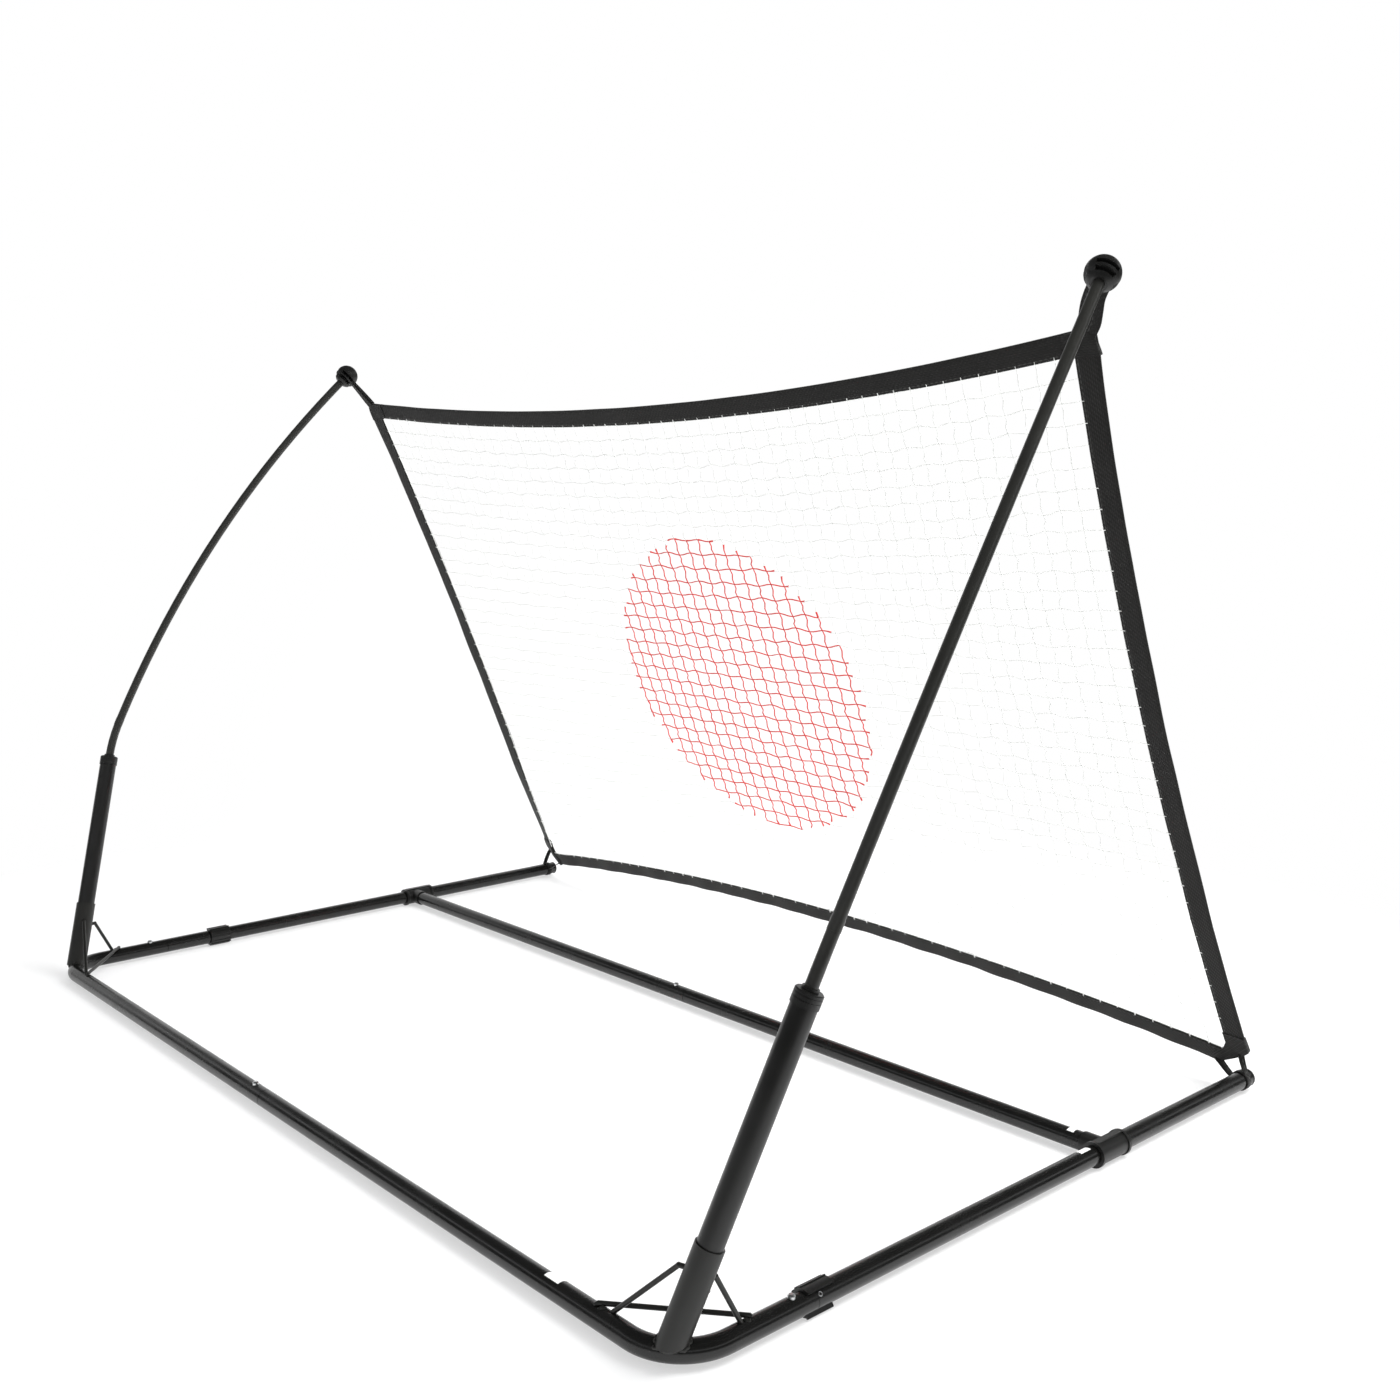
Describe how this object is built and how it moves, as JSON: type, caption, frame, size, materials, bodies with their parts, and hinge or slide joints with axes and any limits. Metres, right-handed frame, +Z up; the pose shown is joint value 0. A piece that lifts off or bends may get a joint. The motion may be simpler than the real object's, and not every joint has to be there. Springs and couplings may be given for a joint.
{
  "type": "golf chipping net",
  "caption": "Free-standing golf chipping net: a net with a round target, held by bow poles that stand in a three-sided tube base with a sliding cross bar.",
  "frame": {"origin": "on the ground, under the middle of the assembly's bounding box", "axes": "+X to the right as the player faces the net, +Y away from the player towards the rear tube, +Z up"},
  "size_m": [1.6464, 0.994, 1],
  "materials": {
    "black_steel": "semi-gloss black powder coat",
    "black_plastic": "moulded black plastic",
    "black_webbing": "woven black webbing",
    "white_netting": "fine white cord",
    "red_netting": "fine red cord",
    "bright_steel": "bare spring steel"
  },
  "bodies": {
    "frame": {"corner_tube_left": "black_steel", "corner_tube_right": "black_steel", "side_tube_left": "black_steel", "side_tube_right": "black_steel", "end_cap_left": "black_plastic", "end_cap_right": "black_plastic", "pole_socket_left": "black_steel", "pole_socket_right": "black_steel", "corner_braces_left": "black_steel", "corner_braces_right": "black_steel", "pole_sleeve_left": "black_steel", "pole_sleeve_right": "black_steel", "sleeve_cap_left": "black_plastic", "sleeve_cap_right": "black_plastic", "rod_bush_left": "black_plastic", "rod_bush_right": "black_plastic", "bow_rod_left": "black_steel", "bow_rod_right": "black_steel", "tip_cap_left": "black_plastic", "tip_cap_right": "black_plastic", "tip_strap_left": "black_webbing", "tip_strap_right": "black_webbing", "top_band": "black_webbing", "bottom_band": "black_webbing", "side_band_left": "black_webbing", "side_band_right": "black_webbing", "net_mesh": "white_netting", "target_mesh": "red_netting", "top_patch_left": "black_webbing", "top_patch_right": "black_webbing", "foot_patch_left": "black_webbing", "foot_patch_right": "black_webbing", "foot_strap_left": "black_webbing", "foot_strap_right": "black_webbing", "rear_spring": "bright_steel", "leg_spring_left": "bright_steel", "leg_spring_right": "bright_steel"},
    "cross_bar": {"cross_bar_left": "black_steel", "cross_bar_right": "black_steel", "bar_collar_left": "black_plastic", "bar_collar_right": "black_plastic", "bar_spring": "bright_steel"},
    "tube_clip_left": {"tube_clip_left": "black_plastic"},
    "tube_clip_right": {"tube_clip_right": "black_plastic"},
    "rear_button": {"rear_button": "bright_steel"},
    "leg_button_left": {"leg_button_left": "bright_steel"},
    "leg_button_right": {"leg_button_right": "bright_steel"},
    "bar_button": {"bar_button": "bright_steel"}
  },
  "joints": [
    {"name": "bar_slide", "type": "slide", "parent": "frame", "child": "cross_bar", "axis": [0, 1, 0], "range_m": [-0.25, 0.2]},
    {"name": "clip_left_slide", "type": "slide", "parent": "frame", "child": "tube_clip_left", "axis": [0, 1, 0], "range_m": [-0.2, 0.008]},
    {"name": "clip_right_slide", "type": "slide", "parent": "frame", "child": "tube_clip_right", "axis": [0, 1, 0], "range_m": [-0.12, 0.09]},
    {"name": "rear_button_press", "type": "slide", "parent": "frame", "child": "rear_button", "axis": [0, 0, -1], "range_m": [0, 0.0042], "stiffness_N_per_m": 2000, "springref_m": -0.001, "deforming": ["rear_spring"]},
    {"name": "leg_button_left_press", "type": "slide", "parent": "frame", "child": "leg_button_left", "axis": [0, 0, -1], "range_m": [0, 0.0042], "stiffness_N_per_m": 2000, "springref_m": -0.001, "deforming": ["leg_spring_left"]},
    {"name": "leg_button_right_press", "type": "slide", "parent": "frame", "child": "leg_button_right", "axis": [0, 0, -1], "range_m": [0, 0.0042], "stiffness_N_per_m": 2000, "springref_m": -0.001, "deforming": ["leg_spring_right"]},
    {"name": "bar_button_press", "type": "slide", "parent": "cross_bar", "child": "bar_button", "axis": [0, 0, -1], "range_m": [0, 0.0042], "stiffness_N_per_m": 2000, "springref_m": -0.001, "deforming": ["bar_spring"]}
  ]
}
